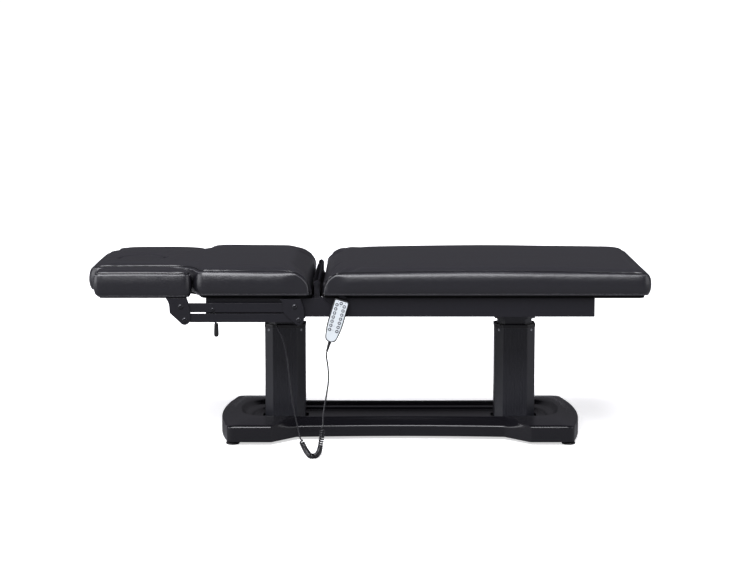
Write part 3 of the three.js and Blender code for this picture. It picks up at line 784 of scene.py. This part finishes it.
    def crease(self, seam, depth, width, pucker):
        """Presses a seam into the skin, with small puckers beside it."""
        landed = self.landed(seam)
        points = [point for point, _ in landed]
        runs = [0.0]
        for before, point in zip(points, points[1:]):
            runs.append(runs[-1] + (point - before).length)
        tree = tree_of(points)
        for vertex in self.mesh.vertices:
            _, index, distance = tree.find(vertex.co)
            if distance > width * 8:
                continue
            outward = landed[index][1]
            wave = noise.noise(Vector((runs[index] * 40, distance * 20, 0.7)))
            press = depth * math.exp(-(distance / width) ** 2)
            ripple = pucker * wave * math.exp(-distance / (width * 4))
            vertex.co -= outward * (press + ripple)

    def landed(self, seam, lift=0.0):
        """The seam's points moved onto the skin, along their outward directions."""
        tree = BVHTree.FromPolygons([v.co for v in self.mesh.vertices],
                                    [p.vertices for p in self.mesh.polygons])
        landed = []
        for point, outward in seam:
            hit, normal, _, _ = tree.ray_cast(point + outward * 0.04, -outward, 0.09)
            if hit is not None:
                landed.append((hit + normal * lift, normal))
        return landed

    def stitches(self, seam, name, pitch=0.0057, length=0.0034, radius=0.00065):
        """A row of short thread stitches along a seam."""
        landed = self.landed(seam, radius * 0.35)
        solids = Solids()
        run = 0.0
        due = 0.0
        for (a, _), (b, _) in zip(landed, landed[1:]):
            step = (b - a).length
            if step > self.LONGEST_STEP or step < 1e-6:
                continue
            forward = (b - a) / step
            while due < run + step:
                middle = a + forward * (due - run)
                solids.tube([middle + forward * length * s for s in (-0.5, -0.25, 0.25, 0.5)],
                            [radius * 0.4, radius, radius, radius * 0.4], 6)
                due += pitch
            run += step
        solids.piece(name, "thread", self.body, sharp=80)

    def groove_shade_bead(self, seam, name, radius=0.0011):
        """A thin near-black bead along the groove where two panels of leather meet: painted shade of the groove.
        """
        landed = [point for point, _ in self.landed(seam, -radius * 0.35)]
        breaks = [i for i in range(1, len(landed))
                  if (landed[i] - landed[i - 1]).length > self.LONGEST_STEP]
        solids = Solids()
        for first, last in zip([0, *breaks], [*breaks, len(landed)]):
            run = resampled(landed[first:last], 0.006)
            if len(run) > 3:
                solids.tube(run, radius, 6)
        solids.piece(name, "seam", self.body, sharp=80)

    def finish(self, fill):
        place(self.name, self.mesh, "leather", self.body, (self.node,), sharp=180)


# how far below the top the stitching and the groove run, and how far above the underside
TOP_SEAM, GROOVE, LOWER_SEAM = 0.0150, 0.0092, 0.005


def make_upholstery():
    main_low, _ = box_of("main_cushion")
    _, back_high = box_of("back_cushion")
    cushions = [
        Cushion("long_cushion", "main_cushion", voxel=0.009, relax=4, cap=0.008, shrink=0.002,
                nose=(main_low.x, 0.075), droop=(0.001, 0.0085), bulge=0.007, wrap=0.0015),
        Cushion("head_cushion", "back_cushion", voxel=0.009, relax=4, cap=0.008, shrink=0.002,
                nose=(back_high.x, -0.087), droop=(0.0, 0.003), bulge=0.007, wrap=0.0015),
        *[Cushion(f"{side}_armrest_pad", f"{side}_arm_pad", voxel=0.006, relax=5, cap=0.007,
                  shrink=0.002, droop=(0.0, 0.002), bulge=0.005, tuck=0.022) for side, _ in SIDES],
        Cushion("face_hole_plug", "face_plug", voxel=0.004, relax=4, cap=0.0025, shrink=0.0032,
                droop=(0.004, 0.0)),
    ]
    seams = [c.seam(TOP_SEAM) for c in cushions]
    for cushion, seam in zip(cushions, seams):
        cushion.start(seam)
    for number in range(1, SIMULATED_FRAMES + 1):
        bpy.context.scene.frame_set(number)
    for cushion in cushions:
        cushion.stop()
    bpy.context.scene.frame_set(1)
    for cushion, seam in zip(cushions, seams):
        cushion.close()
        groove, lower = cushion.seam(GROOVE), cushion.level_seam(LOWER_SEAM)
        cushion.crease(groove, depth=0.0026, width=0.0030, pucker=0.0005)
        if cushion.node != "face_plug":
            # a near-black bead along the groove: painted groove shade
            cushion.groove_shade_bead(groove, cushion.name + "_seam")
            cushion.crease(lower, depth=0.001, width=0.003, pucker=0.0004)
            cushion.stitches(seam, cushion.name + "_top_stitching")
            cushion.stitches(lower, cushion.name + "_lower_stitching",
                             pitch=0.0048, length=0.003, radius=0.0004)
        cushion.finish(0.9)


def make_boards():
    for node, body in (("main_board", "carriage"), ("back_board", "backrest")):
        Solids().node(node).piece(node + "_covered", "board", body, 0.0015, (node,))


def make_gusset():
    """Pleated leather between the two cushions, in a low fold and a high one, a little uneven."""
    x = middle_of("hinge_gusset").x
    half, count, thickness = 0.3, 90, 0.0016
    waviness, unevenness = 0.0025, 0.004
    profile = [(-0.0165, 0.529), (-0.0160, 0.546), (-0.0145, 0.561), (-0.0118, 0.5725),
               (-0.0095, 0.5700), (-0.0072, 0.556), (-0.0042, 0.5475), (-0.0015, 0.560),
               (0.0030, 0.5765), (0.0075, 0.5850), (0.0098, 0.5815), (0.0108, 0.565),
               (0.0118, 0.548), (0.0150, 0.5385), (0.0172, 0.5250), (0.0120, 0.5232),
               (-0.0030, 0.5240)]
    rings = []
    for i in range(count + 1):
        y = -half + 2 * half * i / count
        wave = noise.noise(Vector((y * 14, 3.1, 0))) * waviness
        drop = noise.noise(Vector((y * 9, 0, 5.2))) * unevenness
        outer = [(x + u + wave, y, z + drop) for u, z in profile]
        rings.append(outer + [(u, y, z - thickness) for u, _, z in reversed(outer)])
    gusset = Solids().loft(rings).piece("pleated_gusset", "leather", None,
                                        replaces=("hinge_gusset",), sharp=60)
    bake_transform(gusset)


# ---------- base ----------
BASE_X = 0.1085      # the middle of the base
WAIST_HALF = 0.368   # half the length of its waist


def base_ring(half_length, half_depth, waist, corner, end_height, waist_height):
    """A dog-bone outline: bowed ends, round corners and a waist. Its height can differ there."""
    deep_enough = 0.27  # a ring less deep than this bows less
    bow = 0.032 * min(1, (half_depth - corner) / deep_enough)
    shoulder = half_length - 0.187
    ends = half_length - bow
    straight = (shoulder + ends - corner) / 2
    slope = (WAIST_HALF + shoulder) / 2
    # each stretch: its start, the point it bends towards and its number of steps
    stretches = (((-WAIST_HALF, -waist), (0, -waist + bow), 24),
                 ((WAIST_HALF, -waist), (slope, (-waist - half_depth) / 2), 8),
                 ((shoulder, -half_depth), (straight, -half_depth), 4),
                 ((ends - corner, -half_depth), (ends, -half_depth), 10),
                 ((ends, -half_depth + corner), (half_length + bow, 0), 16),
                 ((ends, half_depth - corner), (ends, half_depth), 10),
                 ((ends - corner, half_depth), (straight, half_depth), 4),
                 ((shoulder, half_depth), (slope, (waist + half_depth) / 2), 8))
    stops = [start for start, _, _ in stretches[1:]] + [(WAIST_HALF, waist)]
    half_ring = []
    for (start, bend, steps), stop in zip(stretches, stops):
        half_ring += quadratic(start, bend, stop, steps)
    ring = []
    for point in half_ring + [-p for p in half_ring]:
        share = clamped((shoulder - abs(point.x)) / (shoulder - WAIST_HALF))
        share = share * share * (3 - 2 * share)
        height = end_height + (waist_height - end_height) * share
        ring.append((BASE_X + point.x, point.y, height))
    return ring


# width, depth and chamfer of the octagons about each column
WELL = (0.166, 0.150, 0.033)
SLEEVE = (0.146, 0.130, 0.0295)
TUBE = (0.122, 0.106, 0.0245)


def octagon(x, width, depth, chamfer):
    half, side = width / 2, depth / 2
    return [(x - half + chamfer, -side), (x + half - chamfer, -side), (x + half, -side + chamfer),
            (x + half, side - chamfer), (x + half - chamfer, side), (x - half + chamfer, side),
            (x - half, side - chamfer), (x - half, -side + chamfer)]


def make_base_cover():
    # half length, half depth, waist half depth, corner, height at the ends, height at the waist
    rings = [base_ring(*[value * MM for value in values]) for values in (
        (640, 296, 203, 27, 40, 39), (640, 296, 203, 27, 12, 12), (641, 297, 204, 28, 11, 11),
        (644, 300, 207, 30, 12.5, 12.5), (644, 300, 207, 30, 60.5, 45.5), (643.2, 299.2, 206.0, 30, 64, 49),
        (641, 297, 203.5, 30, 66.8, 51.8), (637, 293.5, 199, 30, 68.6, 54),
        (631, 288, 191.5, 31, 69.8, 57.5), (622, 279, 180, 36, 71.2, 64.5),
        (606, 240, 170, 48, 75.5, 71.5), (597, 210, 164, 62, 79.5, 75.2),
        (588, 185, 158, 90, 81.5, 76.2), (580, 176, 150, 112, 81.6, 75.6),
        (575, 170, 143, 124, 80.2, 73.5), (571, 165, 137, 128, 75, 69),
        (562, 157, 129, 130, 65.5, 62.5), (556, 153, 124, 130, 62.5, 60.5),
        (541, 146, 114, 130, 61, 60), (535, 141, 108, 128, 58, 58), (530, 137, 103, 126, 52, 52),
        (523, 132, 98, 124, 50.5, 50.5))]
    shell = Solids().loft(rings)
    holes = Solids()
    for end in ENDS:
        outline = rounded(octagon(middle_of(f"{end}_sleeve").x, *WELL), 0.008)
        holes.prism(outline, "z", 0.0, 0.1)
    place("base_shell", cut(shell, holes), "cover", "base", ("base_cover",), sharp=34)
    make_screw("waist_screw", (0.107, -0.1995, 0.030), (0, -1, 0), 0.0032, "base")


def make_screw(name, at, outward, radius, body, finish="bolt"):
    """A small countersunk screw with a socket."""
    profile = [(0, -0.002), (radius, -0.002), (radius, 0.0002), (radius * 0.92, 0.0006),
               (radius * 0.5, 0.0006), (radius * 0.45, -0.0008), (0, -0.0008)]
    Solids().turned(profile, at, outward, 20).piece(name, finish, body, sharp=40)


def make_feet():
    """Round feet, each with its screw and a hexagon nut."""
    profile = [(0, 0), (0.0205, 0), (0.0228, 0.0008), (0.024, 0.003), (0.024, 0.0055),
               (0.0232, 0.0072), (0.0205, 0.0086), (0.013, 0.0098), (0.0115, 0.0112),
               (0.0060, 0.0114), (0.0058, 0.036), (0, 0.036)]
    nut = [(0, 0.0115), (0.0105, 0.0115), (0.0105, 0.0148), (0, 0.0148)]
    for end in ENDS:
        for side, _ in SIDES:
            node = f"{end}_{side}_levelling_foot"
            at = (*middle_of(node).xy, 0)
            foot = Solids().turned(profile, at, (0, 0, 1), 40).turned(nut, at, (0, 0, 1), 6)
            foot.piece(node + "_turned", "rubber", "base", replaces=(node,), sharp=40)


# ---------- columns ----------
def ribbed(x, width, depth, chamfer, radius):
    """An octagon with round corners and shallow grooves down its front and back."""
    corners = octagon(x, width, depth, chamfer)
    half = width / 2 - chamfer
    pitch, wide, deep, margin = 0.0095, 0.0016, 0.0008, 0.004
    count = int(2 * (half - margin) / pitch)
    points = []
    for index, corner in enumerate(corners):
        points.append((*corner, radius))
        if index not in (0, 4):
            continue
        way = 1 if index == 0 else -1
        inward = way * deep
        for k in range(count + 1):
            u = x + way * (k - count / 2) * pitch
            y = corner[1]
            points += [(u - way * wide, y), (u - way * wide / 2, y + inward),
                       (u + way * wide / 2, y + inward), (u + way * wide, y)]
    return rounded(points, 0.0, 4)


def make_columns():
    for end in ENDS:
        low, high = box_of(f"{end}_sleeve")
        x = (low.x + high.x) / 2
        outer = ribbed(x, *SLEEVE, 0.004)
        centre = Vector((x, 0))
        bore_share = 0.955
        inner = [centre + (Vector(p) - centre) * bore_share for p in outer]
        Solids().ring_prism(outer, inner, "z", low.z, high.z).piece(
            f"{end}_ribbed_sleeve", "column", f"{end}_sleeve_stage", replaces=(f"{end}_sleeve",),
            sharp=28)
        make_collar(end, x)
        tube_low, tube_high = box_of(f"{end}_inner_tube")
        flange, overlap = 0.012, 0.001
        tube = Solids().prism(rounded(octagon(x, *TUBE), 0.004), "z", tube_low.z,
                              tube_high.z - flange + overlap)
        tube.prism(rounded(octagon(x, *SLEEVE), 0.004), "z", tube_high.z - flange, tube_high.z)
        tube.piece(f"{end}_moving_tube", "column", "carriage", 0.0009,
                   (f"{end}_inner_tube",), sharp=28)


def make_collar(end, x):
    """The plastic cap on a sleeve, the guide inside it and four screws in the chamfers."""
    low, high = box_of(f"{end}_collar")
    top = high.z
    cap, gap, screw_depth = 0.0117, 0.0008, 0.020
    outer = rounded(octagon(x, 0.149, 0.133, 0.0304), 0.005)
    bore = rounded(octagon(x, 0.1232, 0.1072, 0.0249), 0.005)
    guide = rounded(octagon(x, 0.139, 0.123, 0.0275), 0.005)
    collar = Solids().ring_prism(outer, bore, "z", top - cap, top)
    collar.ring_prism(guide, bore, "z", low.z, top - cap - gap)
    stage = f"{end}_sleeve_stage"
    collar.piece(f"{end}_collar_cap", "plastic", stage, 0.0012, (f"{end}_collar",), sharp=28)
    width, depth, chamfer = SLEEVE
    for hand, sx in (("left", -1), ("right", 1)):
        for side, sy in SIDES:
            at = Vector((x + sx * (width - chamfer) / 2, sy * (depth - chamfer) / 2,
                         top - screw_depth))
            make_screw(f"{end}_{side}_{hand}_screw", at, Vector((sx, sy, 0)).normalized(), 0.0042,
                       stage, "bright")


# ---------- armrest links ----------
FIN_TOP = {"fixed": 0.5267, "pad": 0.5305}
LOCK_AT = (-0.540, 0.492)  # x and z of the bolt that a lock lever turns on
# distances of faces from the bed's middle plane: the two fins of a clevis, and the bars
PLATES = ((0.3750, 0.3703), (0.3616, 0.3570))
BAR = (0.3694, 0.3624)


def fin_outline(upper, lower, top):
    """A shark-fin plate: straight top edge, hollow left edge, round foot at the lower pivot."""
    (ux, uz), (lx, lz) = upper, lower
    foot_radius, steps = 0.018, 12
    points = quadratic((ux - 0.051, top), (ux - 0.040, uz + 0.016), (ux - 0.039, uz - 0.004), 10)
    points += [Vector((ux - 0.039, uz - 0.004)), Vector((ux - 0.038, uz - 0.022))]
    start, end = 1.22 * math.pi, 1.9 * math.pi
    for k in range(steps + 1):
        angle = start + (end - start) * k / steps
        points.append(Vector((lx + foot_radius * math.cos(angle),
                              lz + foot_radius * math.sin(angle))))
    points += quadratic(tuple(points[-1]), (ux + 0.038, uz - 0.015), (ux + 0.020, top), 10)[1:]
    points.append(Vector((ux + 0.020, top)))
    return points


def make_bolt(solids, x, y, z, way, radius=0.0085):
    """A domed bolt head with a hexagon socket, on a washer, added to a piece."""
    at = (x, y, z)
    outward = (0, way, 0)
    solids.turned([(0, -0.0005), (radius * 1.18, -0.0005), (radius * 1.18, 0.0009), (0, 0.0009)],
                  at, outward, 32)
    solids.turned([(0, 0.0008), (radius, 0.0008), (radius * 0.98, 0.0022), (radius * 0.86, 0.0036),
                   (radius * 0.62, 0.0046), (radius * 0.5, 0.0049), (radius * 0.46, 0.0020),
                   (0, 0.0020)], at, outward, 30)


def make_armrests():
    for side, way in SIDES:
        pivots = {joint["name"]: (joint["pos_m"][0], joint["pos_m"][2])
                  for joint in frame["joints"]
                  if joint["name"].startswith(side) and "pos_m" in joint}
        fixed = (pivots[f"{side}_armrest_lower"], pivots[f"{side}_lower_link_swing"])
        shift = pivots[f"{side}_armrest_level"][0] - fixed[0][0]
        pad = tuple((x + shift, z) for x, z in fixed)
        for name, places, body, node in (("fixed", fixed, "backrest", "fixed_plate"),
                                         ("pad", pad, f"{side}_armrest", "pad_bracket")):
            make_clevis(side, way, name, places, body, node)
        for name, (start, end), above, below in (
                ("upper", (fixed[0], pad[0]), 0.011, 0.021),
                ("lower", (fixed[1], pad[1]), 0.0207, 0.0095)):
            make_bar(side, way, name, start, end, above, below)
        make_lock(side, way)


def make_clevis(side, way, name, places, body, node):
    """Two fins and the web between them, the pad's plate, and bolts at both pivots."""
    top = FIN_TOP[name]
    fin = fin_outline(*places, top)
    plates = Solids()
    for outer, inner in PLATES:
        plates.prism(fin, "y", way * outer, way * inner)
    left, right = places[0][0] - 0.046, places[0][0] + 0.006
    under, over = top - 0.004, top - 0.0002
    plates.prism([(left, under), (right, under), (right, over), (left, over)], "y", way * 0.3706,
                 way * 0.3612)
    if name == "pad":
        _, high = box_of(f"{side}_pad_bracket")
        left, right, outer, inner = -0.930, -0.630, way * 0.366, way * 0.262
        plates.prism(rounded([(left, outer), (right, outer), (right, inner), (left, inner)], 0.008),
                     "z", high.z - 0.0033, high.z)
    plates.piece(f"{side}_{name}_clevis", "steel", body, 0.0008, (f"{side}_{node}",))
    bolts = Solids()
    for x, z in places:
        make_bolt(bolts, x, way * PLATES[0][0], z, way)
        bolts.turned([(0, 0), (0.004, 0), (0.004, 0.012), (0, 0.012)], (x, way * 0.3735, z),
                     (0, -way, 0), 20)
    bolts.piece(f"{side}_{name}_bolts", "bolt", body, sharp=40)


def make_bar(side, way, name, start, end, above, below):
    """A flat bar past both pivots, level at rest."""
    past = 0.013
    low_x, high_x = min(start[0], end[0]) - past, max(start[0], end[0]) + past
    z = start[1]
    outline = rounded([(low_x, z - below), (high_x, z - below), (high_x, z + above),
                       (low_x, z + above)], 0.012, 8)
    Solids().prism(outline, "y", way * BAR[0], way * BAR[1]).piece(
        f"{side}_{name}_link", "steel", f"{side}_{name}_link", 0.0011, (f"{side}_{name}_bar",))


def make_lock(side, way):
    """The lock lever: a thin arm, a moulded grip and the bolt it turns on."""
    x, z = LOCK_AT
    inner = way * 0.357
    lean, drop = 0.010, 0.060
    lever = Solids()
    arm = [Vector((x + 0.001 + lean * k / 10, inner, z - drop * k / 10)) for k in range(11)]
    lever.tube(arm, 0.0036, 14)
    # height above the floor, half width
    sizes = ((0.4420, 0.0052), (0.4405, 0.0066), (0.4360, 0.0074), (0.4240, 0.0078),
             (0.4120, 0.0083), (0.4030, 0.0085), (0.3985, 0.0076), (0.3955, 0.0056),
             (0.3942, 0.0030))
    lever.loft([[(x + 0.011 + width * math.cos(a), inner + 0.0043 * math.sin(a) * width / 0.0085,
                  height) for a in (2 * math.pi * k / 24 for k in range(24))]
                for height, width in sizes])
    lever.turned([(0, 0), (0.012, 0), (0.012, 0.0076), (0.011, 0.0084), (0, 0.0084)],
                 (x, way * 0.3616, z), (0, -way, 0), 28)
    lever.piece(f"{side}_lever", "plastic", f"{side}_lock", replaces=(f"{side}_lock_lever",),
                sharp=40)
    bolt = Solids()
    seat = way * 0.3697
    make_bolt(bolt, x, seat, z, way, 0.0062)
    bolt.turned([(0, 0), (0.0038, 0), (0.0038, 0.009), (0, 0.009)], (x, seat, z), (0, -way, 0), 20)
    bolt.piece(f"{side}_lever_bolt", "bolt", f"{side}_lock", sharp=40)


# ---------- frames and inner works ----------
def close_notches(solids):
    """A thin plate inside each rail closes the corner cut for the head section."""
    left, right, foot, top = -0.176, -0.120, 0.4685, 0.5314
    for _, way in SIDES:
        solids.prism([(left, foot), (right, foot), (right, top), (left, top)], "y",
                     way * 0.3458, way * 0.3440)


def taper_uprights(solids):
    """The hinge uprights narrow towards the pin that they carry."""
    foot, reach, narrowing = 0.552, 0.03, 0.62
    pin_x = next(j for j in frame["joints"] if j["name"] == "back_tilt")["pos_m"][0]
    for vertex in solids.mesh.verts:
        at = vertex.co
        if at.z > foot and abs(at.x - pin_x) < reach:
            at.x = pin_x + (at.x - pin_x) * narrowing


def refine_frames():
    """CAD shapes that are right get small round edges."""
    for node, finish, body, bevel in (
            ("lift_frame", "steel", "carriage", 0.0012), ("back_frame", "steel", "backrest", 0.0012),
            ("base_frame", "steel", "base", 0.0012), ("control_box", "plastic", "carriage", 0.002),
            ("back_actuator", "plastic", "actuator_body", 0.0012),
            ("back_actuator_rod", "bright", "actuator_rod", 0.0008),
            ("handset_hook", "steel", "carriage", 0.0006),
            ("head_lift_motor", "bright", "base", 0.001),
            ("foot_lift_motor", "bright", "base", 0.001)):
        works = Solids().node(node)
        if node == "lift_frame":
            close_notches(works)
            taper_uprights(works)
        works.piece(node + "_refined", finish, body, bevel, (node,))


# ---------- handset ----------
CASE_BACK, CASE_FRONT, FACE_FRONT = -0.3550, -0.3762, -0.3778
KEY_HOLE = 0.0057
KEYS = range(1, 16)
LAMPS = ((-0.011, 0.0685), (0.0135, 0.0685), (0.0, 0.0538), (-0.0014, -0.0176), (-0.0014, -0.0326))


def handset_outline(inset):
    """Straight sides that widen a little, then taper to a round foot, in handset coordinates."""
    top, waist, foot = 0.0265, 0.0280, 0.0195
    half = HANDSET_HALF
    points = [(-top, half, 0.007), (-waist, -0.023, 0.030), (-foot, -half + 0.006, 0.014),
              (-0.006, -half - 0.0005, 0.010), (0.006, -half - 0.0005, 0.010),
              (foot, -half + 0.006, 0.014), (waist, -0.023, 0.030), (top, half, 0.007)]
    outline = rounded(points, 0.0, 8)
    factor_u = 1 - inset / top
    factor_v = 1 - inset / half
    return [(p.x * factor_u, p.y * factor_v) for p in outline]


def handset_prism(solids, inset, back, front, crown):
    """A slab of the handset's outline from back to front, its front edge drawn in by crown."""
    layers = [(inset, back), (inset, front + crown * 0.7),
              (inset + crown * 0.3, front + crown * 0.25), (inset + crown, front)]
    solids.loft([[tuple(on_handset(u, v, y)) for u, v in handset_outline(i)] for i, y in layers])


def make_handset():
    case = Solids()
    handset_prism(case, 0.0, CASE_BACK, CASE_FRONT, 0.003)
    case.piece("handset_body", "plastic", "handset", 0.0, ("handset_case",), sharp=50)
    face, holes = Solids(), Solids()
    handset_prism(face, 0.0040, CASE_FRONT + 0.0002, FACE_FRONT, 0.0008)
    for index in KEYS:
        at = middle_of(f"key_{index:02d}")
        holes.prism(circle((at.x, at.z), KEY_HOLE, 32), "y", FACE_FRONT - 0.01, CASE_FRONT + 0.002)
    place("handset_panel", cut(face, holes), "face", "handset", ("handset_face",), sharp=50)
    for index in KEYS:
        make_key(index)
    lamps = Solids()
    for u, v in LAMPS:
        at = on_handset(u, v, FACE_FRONT)
        lamps.turned([(0, -0.0005), (0.0011, -0.0005), (0.0011, 0.0002), (0.0006, 0.0006),
                      (0, 0.0006)], at, (0, -1, 0), 14)
    lamps.piece("handset_lamps", "ring", "handset", sharp=60)


def make_key(index):
    """A round key: a grey raised ring about a pale centre."""
    node = f"key_{index:02d}"
    centre = middle_of(node)
    low, high = box_of(node)
    depth = high.y - low.y
    at = (centre.x, high.y, centre.z)
    ring = [(0, 0), (0.0053, 0), (0.0054, depth - 0.0008), (0.0051, depth - 0.0001),
            (0.0047, depth), (0.0031, depth - 0.0002), (0.0029, depth - 0.0006), (0, depth - 0.0006)]
    body = f"button_{index:02d}"
    Solids().turned(ring, at, (0, -1, 0), 28).piece(f"key_ring_{index:02d}", "ring", body,
                                                    replaces=(node,), sharp=60)
    cap = [(0, depth - 0.001), (0.0028, depth - 0.001), (0.0027, depth - 0.0002),
           (0.0021, depth + 0.0001), (0, depth + 0.0002)]
    Solids().turned(cap, at, (0, -1, 0), 24).piece(f"key_cap_{index:02d}", "face", body, sharp=60)


# ---------- the whole object ----------
add_camera()
FINISH = make_finishes()
make_cord()
make_strain_relief()
make_gland()
add_studio()
make_upholstery()
make_boards()
make_gusset()
make_base_cover()
make_feet()
make_columns()
make_armrests()
refine_frames()
make_handset()
